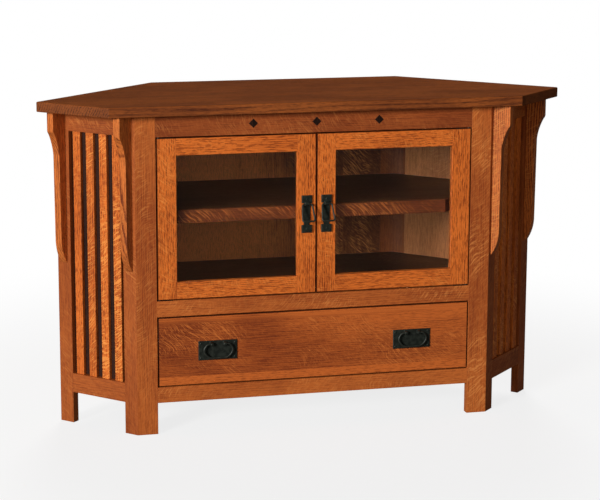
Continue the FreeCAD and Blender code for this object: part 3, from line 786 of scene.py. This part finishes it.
# %% Maple material
def maple():
    material, graph = new_material("maple_box")
    place = graph.attribute("grain", "Vector")
    tone = graph.attribute("tone")
    streaks = graph.noise(place, (90, 90, 3), 4.0, 0.6)
    curl = graph.noise(place, (30, 300, 60), 2.0)
    share = (streaks * 0.8 + curl * 0.3 + tone * 0.1).rise(0.2, 0.95)
    colour = graph.mix(share, (0.50, 0.33, 0.19), (0.66, 0.49, 0.31))
    fibres = graph.noise(place, (1500, 1500, 60), 1.0)
    normal = graph.bump(fibres, depth=0.06 * MM, strength=0.2)
    show_surface(graph, colour, 0.42 + streaks * 0.12, normal, Specular_IOR_Level=0.25)
    return material


finish["maple_box"] = maple()
print("maple ready")

# %% Dress the plain boards
REPEATED = ("left_side_slats", "right_side_slats")
MOULDED = ("left_door_beads", "right_door_beads")

plain = sorted(node for node in nodes
               if slot_of[node] in finish and node not in REPEATED + MOULDED)
for node in plain:
    if node.endswith("corbels"):
        dress_board(node, CORBEL_EASE, 0)
    elif node == "top_panel":
        dress_board(node, TOP_EASE, 0)
    else:
        dress_board(node)
print("boards dressed", len(plain))

# %% [markdown]
# ## Geometry Nodes for what repeats
# Slats, pegs and nails repeat, and a bail's wire follows a path. Copies could be placed by hand,
# but a tree with named sizes says the rule once. A small helper builds a tree from its inputs,
# and another runs it on a mesh and keeps the result as a plain mesh.

# %% Tree helpers
def new_tree(name, **inputs):
    """A geometry tree with a mesh coming in, and its named inputs as wires."""
    tree = bpy.data.node_groups.new(name, "GeometryNodeTree")
    kinds = {"mesh": "NodeSocketGeometry", "material": "NodeSocketMaterial", **inputs}
    for label, kind in kinds.items():
        tree.interface.new_socket(label, in_out="INPUT", socket_type=kind)
    tree.interface.new_socket("made", in_out="OUTPUT", socket_type="NodeSocketGeometry")
    start = tree.nodes.new("NodeGroupInput")
    graph = Graph(tree)
    return graph, {label: Wire(graph, start.outputs[label]) for label in kinds}


def end_tree(graph, geometry, material):
    """Makes copies real, gives them their material, and ends the tree."""
    real = graph.add("GeometryNodeRealizeInstances", None, {"Geometry": geometry})
    made = graph.add("GeometryNodeSetMaterial", None, {"Geometry": real, "Material": material})
    graph.add("NodeGroupOutput", None, {"made": made})
    return graph.tree


def run_modifiers(host):
    """The host's mesh as its modifiers leave it. The host is then gone."""
    layer = bpy.context.evaluated_depsgraph_get()
    made = bpy.data.meshes.new_from_object(host.evaluated_get(layer))
    bpy.data.objects.remove(host)
    return made


def grow(tree, mesh, name, **values):
    """Runs a tree on a mesh and returns the result as a plain mesh."""
    host = new_object(name, mesh)
    modifier = host.modifiers.new("grow", "NODES")
    modifier.node_group = tree
    for item in tree.interface.items_tree:
        if item.in_out == "INPUT" and item.name in values:
            modifier[item.identifier] = values[item.name]
    made = run_modifiers(host)
    made.name = name
    return made


FLOAT = "NodeSocketFloat"
WHOLE = "NodeSocketInt"
VECTOR = "NodeSocketVector"
print("tree helpers ready")

# %% [markdown]
# ## Slats and pegs in a row
# Each side frame holds four slats, and the top rail three dark square pegs set on their corners.
# Both are rows at one pitch. The first piece of the row is taken from the frame and eased, and
# the tree lays copies of it along a line. The step between copies is measured on the frame.

# %% Rows
def row_tree():
    graph, given = new_tree("row", count=WHOLE, step=VECTOR)
    line = graph.add("GeometryNodeMeshLine", None,
                     {"Count": given["count"], "Offset": given["step"]})
    copies = graph.add("GeometryNodeInstanceOnPoints", None,
                       {"Points": line, "Instance": given["mesh"]})
    return end_tree(graph, copies, given["material"])


def first_solid(node):
    """The node's first solid as a bmesh, with the number of solids and the step between them."""
    shape = welded(node)
    mesh = bpy.data.meshes.new("measured")
    shape.to_mesh(mesh)
    groups = solids_of(mesh)
    middles = [sum((mesh.vertices[v].co for v in group), Vector()) / len(group)
               for group in groups]
    far = max(range(len(groups)), key=lambda index: middles[index].x)
    near = min(range(len(groups)), key=lambda index: middles[index].x)
    step = (middles[far] - middles[near]) / max(len(groups) - 1, 1)
    kept = set(groups[near])
    shape.verts.ensure_lookup_table()
    others = [vertex for vertex in shape.verts if vertex.index not in kept]
    bmesh.ops.delete(shape, geom=others, context="VERTS")
    bpy.data.meshes.remove(mesh)
    return shape, len(groups), step


def row_piece(node, name, material, ease, tree):
    shape, count, step = first_solid(node)
    ease_edges(shape, ease, 0)
    mesh = plain_mesh(shape, name)
    made = grow(tree, mesh, name, material=material, count=count, step=step)
    lay_grain(made, node)
    print(name, "count", count, "step mm", round(step.length / MM, 1))
    return place_piece(name, made, material, node)


def peg_wood():
    """Blackened hardwood: near black, with a brown sheen where the grain stands up."""
    material, graph = new_material("dark_peg")
    place = graph.attribute("grain", "Vector")
    streaks = graph.noise(place, (700, 700, 60), 3.0, 0.6)
    colour = graph.mix(streaks.rise(0.35, 0.75), (0.006, 0.003, 0.002), (0.035, 0.012, 0.006))
    normal = graph.bump(streaks, depth=0.1 * MM, strength=0.3)
    show_surface(graph, colour, 0.38 + streaks * 0.2, normal, Specular_IOR_Level=0.2)
    return material


row = row_tree()
finish["dark_peg"] = peg_wood()
for node in REPEATED:
    row_piece(node, "oak_" + node, finish[slot_of[node]], SLAT_EASE, row)
row_piece("diamond_pegs", "inlaid_diamond_pegs", finish["dark_peg"], PEG_EASE, row)

# %% [markdown]
# ## Blackened iron
# The pulls are iron that was hammered, blackened in hot oil and rubbed back. The black is neither
# pure nor even: it has a green-brown cast, it is duller in the hollows, and bare metal glints on
# the raised edges. Pointiness tells raised from hollow on a fine mesh, and noise does the rest.

# %% Metal materials
def blackened_iron():
    material, graph = new_material("blackened_metal")
    place = graph.coordinates()
    raised = graph.add("ShaderNodeNewGeometry", None, None, "Pointiness").rise(0.51, 0.57)
    cast = graph.noise(place, (110, 110, 110), 3.0, 0.5)
    scale = graph.noise(place, (700, 700, 700), 2.0, 0.5)
    colour = graph.mix(cast.rise(0.35, 0.7), (0.013, 0.016, 0.012), (0.027, 0.032, 0.024))
    colour = graph.mix(raised * (0.25 + scale * 0.4), colour, (0.12, 0.13, 0.105))
    rough = 0.50 - raised * 0.14 + (cast - 0.5) * 0.2
    normal = graph.bump(scale, depth=0.15 * MM, strength=0.35)
    show_surface(graph, colour, rough, normal, Metallic=0.4)
    return material


def zinc_steel():
    """Zinc plate on rolled steel, with rolling lines along the slides."""
    material, graph = new_material("zinc_steel")
    place = graph.coordinates()
    lines = graph.noise(place, (900, 25, 2200), 3.0, 0.6)
    cloud = graph.noise(place, (35, 35, 35), 3.0, 0.6)
    colour = graph.mix(cloud.rise(0.3, 0.7), (0.42, 0.43, 0.44), (0.60, 0.61, 0.60))
    normal = graph.bump(lines, depth=0.05 * MM, strength=0.2)
    show_surface(graph, colour, 0.3 + lines * 0.2, normal, Metallic=1.0)
    return material


def catch_plastic():
    material, graph = new_material("catch_plastic")
    place = graph.coordinates()
    grit = graph.noise(place, (1800, 1800, 1800), 2.0, 0.6)
    colour = graph.mix(grit, (0.09, 0.05, 0.03), (0.13, 0.075, 0.045))
    normal = graph.bump(grit, depth=0.08 * MM, strength=0.25)
    show_surface(graph, colour, 0.45 + grit * 0.1, normal)
    return material


finish["blackened_metal"] = blackened_iron()
finish["zinc_steel"] = zinc_steel()
finish["catch_plastic"] = catch_plastic()
print("metal ready")

# %% [markdown]
# ## Hammered plates
# A back plate is cut from sheet and hammered all over, which leaves shallow facets and a slightly
# wavering edge. The plate's solid from the frame is meshed again with small even cells, and a
# tree pushes its skin in and out: cell noise gives the hammer's facets, soft noise the wavering.
# Before that, the narrow waist of a door plate is spread a little, as hammering does.

# %% Forge the plates
CELL = 0.75 * MM
HAMMER_DEPTH = 0.18 * MM
FACET = 6.0 * MM
WAIST_END = 0.52
WAIST_BLEND = 0.1
WAIST_GAIN = 0.3


def hammer_tree():
    graph, given = new_tree("hammer", depth=FLOAT, facet=FLOAT, seed=FLOAT)
    place = graph.add("GeometryNodeInputPosition")
    normal = graph.add("GeometryNodeInputNormal", None, None, "Normal")
    cells = graph.add("ShaderNodeTexVoronoi", {"feature": "SMOOTH_F1", "voronoi_dimensions": "4D"},
                      {"Vector": place, "W": given["seed"], "Scale": 1 / given["facet"],
                       "Smoothness": 0.35}, "Distance")
    waver = graph.add("ShaderNodeTexNoise", {"noise_dimensions": "4D"},
                      {"Vector": place, "W": given["seed"], "Scale": 0.4 / given["facet"]},
                      "Fac")
    push = (cells * 1.1 - 0.75 + (waver - 0.5)) * given["depth"]
    offset = graph.add("ShaderNodeVectorMath", {"operation": "SCALE"},
                       {0: normal, "Scale": push})
    bent = graph.add("GeometryNodeSetPosition", None,
                     {"Geometry": given["mesh"], "Offset": offset})
    return end_tree(graph, bent, given["material"])


def fine_mesh(node):
    """The node's solids meshed again in small even cells."""
    shape = welded(node)
    bmesh.ops.triangulate(shape, faces=shape.faces)
    host = new_object("fine", plain_mesh(shape, "fine"))
    remesh = host.modifiers.new("cells", "REMESH")
    remesh.mode = "VOXEL"
    remesh.voxel_size = CELL
    return run_modifiers(host)


def widen_waist(mesh):
    """Makes a door plate broader between its two ends."""
    places = places_of(mesh)
    low, high = places.min(axis=0), places.max(axis=0)
    middle = (low + high) / 2
    reach = abs(places[:, 2] - middle[2]) / (high[2] - middle[2])
    share = np.clip((WAIST_END - reach) / WAIST_BLEND, 0, 1)
    places[:, 0] += (places[:, 0] - middle[0]) * share * WAIST_GAIN
    mesh.vertices.foreach_set("co", places.ravel())


def forge(node, name, seed, tree):
    mesh = fine_mesh(node)
    if "door" in node:
        widen_waist(mesh)
    made = grow(tree, mesh, name, material=finish["blackened_metal"],
                depth=HAMMER_DEPTH, facet=FACET, seed=seed)
    piece = place_piece(name, made, finish["blackened_metal"], node)
    print(name, "faces", len(made.polygons))
    return piece


hammer = hammer_tree()
for seed, node in enumerate(("drawer_pull_plates", "left_door_pull_plate",
                             "right_door_pull_plate")):
    forge(node, "iron_" + node, float(seed), hammer)

# %% [markdown]
# ## Bails
# A bail is one bent wire, drawn out thinner towards its ends. It could be a curve object with a
# bevel, but the thickness has to swell towards the middle. So a tree takes the corners of its
# path, rounds each by that corner's own radius, and sweeps a circle along it.

# %% Bend the bails
WIRE_STEPS = 120
WIRE_SIDES = 18
BEND_STEPS = 12
THICK = 1.05
DRAWER_WIRE = 2.3 * MM
DRAWER_THIN = 0.9
DRAWER_EYE = 13.2 * MM
DRAWER_DROP = 0.93
DOOR_WIRE = 2.2 * MM
DOOR_THIN = 0.95
DOOR_EYE = 0.4 * MM
DOOR_DROP = 45 * MM
DOOR_LEAN = math.radians(25)
SHOULDER = 12.5 * MM

# Each corner's share of the bail's half width and of its drop, and the radius of its bend.
DRAWER_CORNERS = ((0.76, 0, 10 * MM), (1.05, 0.47, 14 * MM), (0.64, 1, 20 * MM))


def wire_tree():
    graph, given = new_tree("wire", thin=FLOAT, thick=FLOAT)
    curve = graph.add("GeometryNodeMeshToCurve", None, {"Mesh": given["mesh"]})
    bend = graph.add("GeometryNodeInputNamedAttribute", {"data_type": "FLOAT"},
                     {"Name": "bend"}, "Attribute")
    curve = graph.add("GeometryNodeFilletCurve", {"mode": "POLY"},
                      {"Curve": curve, "Radius": bend, "Count": BEND_STEPS,
                       "Limit Radius": True})
    curve = graph.add("GeometryNodeResampleCurve", {"mode": "COUNT"},
                      {"Curve": curve, "Count": WIRE_STEPS})
    share = graph.add("GeometryNodeSplineParameter", None, None, "Factor")
    swell = (share * (1 - share) * 4) ** 0.6
    ring = graph.add("GeometryNodeCurvePrimitiveCircle", None,
                     {"Resolution": WIRE_SIDES, "Radius": 1.0})
    made = graph.add("GeometryNodeCurveToMesh", None,
                     {"Curve": curve, "Profile Curve": ring, "Fill Caps": True,
                      "Scale": given["thin"] + (given["thick"] - given["thin"]) * swell})
    return end_tree(graph, made, given["material"])


def path_mesh(points, bends):
    """A chain of edges through the points, each with the radius of its bend."""
    mesh = bpy.data.meshes.new("path")
    chain = [(index, index + 1) for index in range(len(points) - 1)]
    mesh.from_pydata(points, chain, [])
    store(mesh, "bend", bends)
    return mesh


joint_of = {joint["child"]: joint for joint in frame["joints"]}


def bend_bail(node, corners, lean, radius, thin, tree):
    """Corners are across, down and bend radius, from the pivot, on one side. The other side is
    the same. Thin is what share of the wire's radius is left at its ends."""
    pivot = Vector(joint_of[body_of[node]]["pos_m"])
    down = Vector((0, -math.sin(lean), -math.cos(lean)))
    both = ([(-across, drop, bend) for across, drop, bend in corners]
            + [(across, drop, bend) for across, drop, bend in reversed(corners)])
    points = [pivot + Vector((across, 0, 0)) + down * drop for across, drop, bend in both]
    mesh = path_mesh(points, [bend for across, drop, bend in both])
    name = "iron_" + node
    made = grow(tree, mesh, name, material=finish["blackened_metal"], thin=radius * thin,
                thick=radius * THICK)
    return place_piece(name, made, finish["blackened_metal"], node)


def drawer_bail_corners(node):
    """Level from eye to eye, then round and in to the grip."""
    low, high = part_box(node)
    half = (high.x - low.x) / 2 - DRAWER_WIRE
    drop = (high.z - low.z - 2 * DRAWER_WIRE) * DRAWER_DROP
    return [(DRAWER_EYE, 0, 0)] + [(half * across, drop * down, bend)
                                   for across, down, bend in DRAWER_CORNERS]


def door_bail_corners(node):
    """A shoulder on each side, then nearly straight down to the grip."""
    low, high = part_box(node)
    half = (high.x - low.x) / 2 - DOOR_WIRE
    return [(DOOR_EYE, 0, 0), (SHOULDER, 0, 7 * MM), (half, DOOR_DROP, 5 * MM)]


wire = wire_tree()
for side in ("left", "right"):
    drawer_bail = side + "_drawer_bail"
    bend_bail(drawer_bail, drawer_bail_corners(drawer_bail), 0, DRAWER_WIRE, DRAWER_THIN,
              wire)
    door_bail = side + "_door_bail"
    bend_bail(door_bail, door_bail_corners(door_bail), DOOR_LEAN, DOOR_WIRE, DOOR_THIN,
              wire)
print("bails bent")

# %% [markdown]
# ## Nails
# Round-headed nails fix the plates. Each head was struck by hand, so no two are quite alike. The
# frame says where they are. A tree puts a small dome on each spot, turns it by chance with a
# fixed seed, and dents it a little.

# %% Drive the nails
NAIL_RADIUS = 2.8 * MM
NAIL_HEIGHT = 1.4 * MM
NAIL_DENT = 0.25


def nail_tree():
    graph, given = new_tree("nails", radius=FLOAT, height=FLOAT, dent=FLOAT, seed=WHOLE)
    ball = graph.add("GeometryNodeMeshIcoSphere", None, {"Radius": 1.0, "Subdivisions": 4},
                     "Mesh")
    place = graph.add("GeometryNodeInputPosition")
    x, y, z = graph.split(place)
    lump = graph.add("ShaderNodeTexNoise", None, {"Vector": place, "Scale": 1.8}, "Fac") - 0.5
    size = 1 + lump * given["dent"]
    front = y.math("MINIMUM", y, 0.0)
    dome = graph.join(x * size * given["radius"], front * size * given["height"],
                      z * size * given["radius"])
    head = graph.add("GeometryNodeSetPosition", None, {"Geometry": ball, "Position": dome})
    spin = graph.add("FunctionNodeRandomValue", {"data_type": "FLOAT"},
                     {"Min": 0.0, "Max": 2 * math.pi, "Seed": given["seed"]})
    euler = graph.join(0.0, spin, 0.0)
    heads = graph.add("GeometryNodeInstanceOnPoints", None,
                      {"Points": given["mesh"], "Instance": head, "Rotation": euler})
    return end_tree(graph, heads, given["material"])


def drive_nails(node, seed, tree):
    """Heads where the node's nails are, on the surface that they were driven through."""
    mesh = plain_mesh(welded(node), "measured")
    spots = []
    for group in solids_of(mesh):
        points = np.array([mesh.vertices[v].co for v in group])
        low, high = points.min(axis=0), points.max(axis=0)
        spots.append(((low[0] + high[0]) / 2, low[1] + NAIL_HEIGHT, (low[2] + high[2]) / 2))
    dots = bpy.data.meshes.new("spots")
    dots.from_pydata(spots, [], [])
    made = grow(tree, dots, "iron_" + node, material=finish["blackened_metal"],
                radius=NAIL_RADIUS, height=NAIL_HEIGHT, dent=NAIL_DENT, seed=seed)
    place_piece("iron_" + node, made, finish["blackened_metal"], node)
    print("iron_" + node, "heads", len(spots))


nails = nail_tree()
for seed, node in enumerate(("drawer_pull_nails", "left_door_pull_nails",
                             "right_door_pull_nails")):
    drive_nails(node, seed, nails)

# %% [markdown]
# ## Panes and beads
# Window glass is clear, a little green at its edges, and shows the dark inside of the case. Lamp
# light would have to be traced through it to get in, so rays that only test for shadow see a
# grey film instead. The beads that hold each pane are mitred strips with a rounded inner edge.

# %% Glass
def clear_glass():
    material, graph = new_material("clear_glass")
    shadow = light_path(graph, "Is Shadow Ray")
    pane = graph.add("ShaderNodeBsdfPrincipled", None,
                     {"Base Color": (0.93, 0.95, 0.92), "Roughness": 0.0, "IOR": 1.45,
                      "Transmission Weight": 1.0})
    film = graph.add("ShaderNodeBsdfTransparent", None, {"Color": (0.62, 0.62, 0.61)})
    show(graph, graph.add("ShaderNodeMixShader", None, {0: shadow, 1: pane, 2: film}))
    return material


finish["clear_glass"] = clear_glass()

# %% Glazing beads
BEAD_LAP = 7.0 * MM
BEAD_ROUND = 4.0 * MM
BEAD_STEPS = 5


def bead_outline(width, depth):
    """The bead's section as inset and depth, with a round on its inner rear edge."""
    arc = [math.pi / 2 * step / BEAD_STEPS for step in range(BEAD_STEPS + 1)]
    rounded = [(width - BEAD_ROUND + BEAD_ROUND * math.cos(a),
                depth - BEAD_ROUND + BEAD_ROUND * math.sin(a)) for a in arc]
    return [(0, 0), (width, 0)] + rounded + [(0, depth)]


def mitred_beads(node):
    """Four strips round a pane, each cut at 45 degrees."""
    low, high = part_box(node)
    glass_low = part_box(node.replace("beads", "glass"))[0]
    width = glass_low.x - low.x + BEAD_LAP
    section = bead_outline(width, high.y - low.y)
    shape = bmesh.new()
    corners = [(low.x, low.z, 1, 1), (high.x, low.z, -1, 1), (high.x, high.z, -1, -1),
               (low.x, high.z, 1, -1)]
    for index in range(len(corners)):
        ends = []
        for x, z, inward_x, inward_z in (corners[index], corners[(index + 1) % len(corners)]):
            ends.append([shape.verts.new((x + inset * inward_x, low.y + depth,
                                          z + inset * inward_z)) for inset, depth in section])
        for spot in range(len(section)):
            after = (spot + 1) % len(section)
            shape.faces.new((ends[0][spot], ends[0][after], ends[1][after], ends[1][spot]))
        shape.faces.new(ends[0][::-1])
        shape.faces.new(ends[1])
    bmesh.ops.recalc_face_normals(shape, faces=shape.faces)
    mesh = plain_mesh(shape, "oak_" + node)
    lay_grain(mesh, node)
    return place_piece("oak_" + node, mesh, finish[slot_of[node]], node)


for node in MOULDED:
    mitred_beads(node)
print("beads mitred")

# %% [markdown]
# ## What stays as it is
# Panes, pivots, strikes, catches and slides already have their true shape, so they keep the
# frame's own meshes and only get a finish.

# %% Finish the frame's own pieces
kept = sorted(node for node, piece in nodes.items() if not piece.hide_render)
for node in kept:
    nodes[node].material_slots[0].material = finish[slot_of[node]]
print("kept", kept)
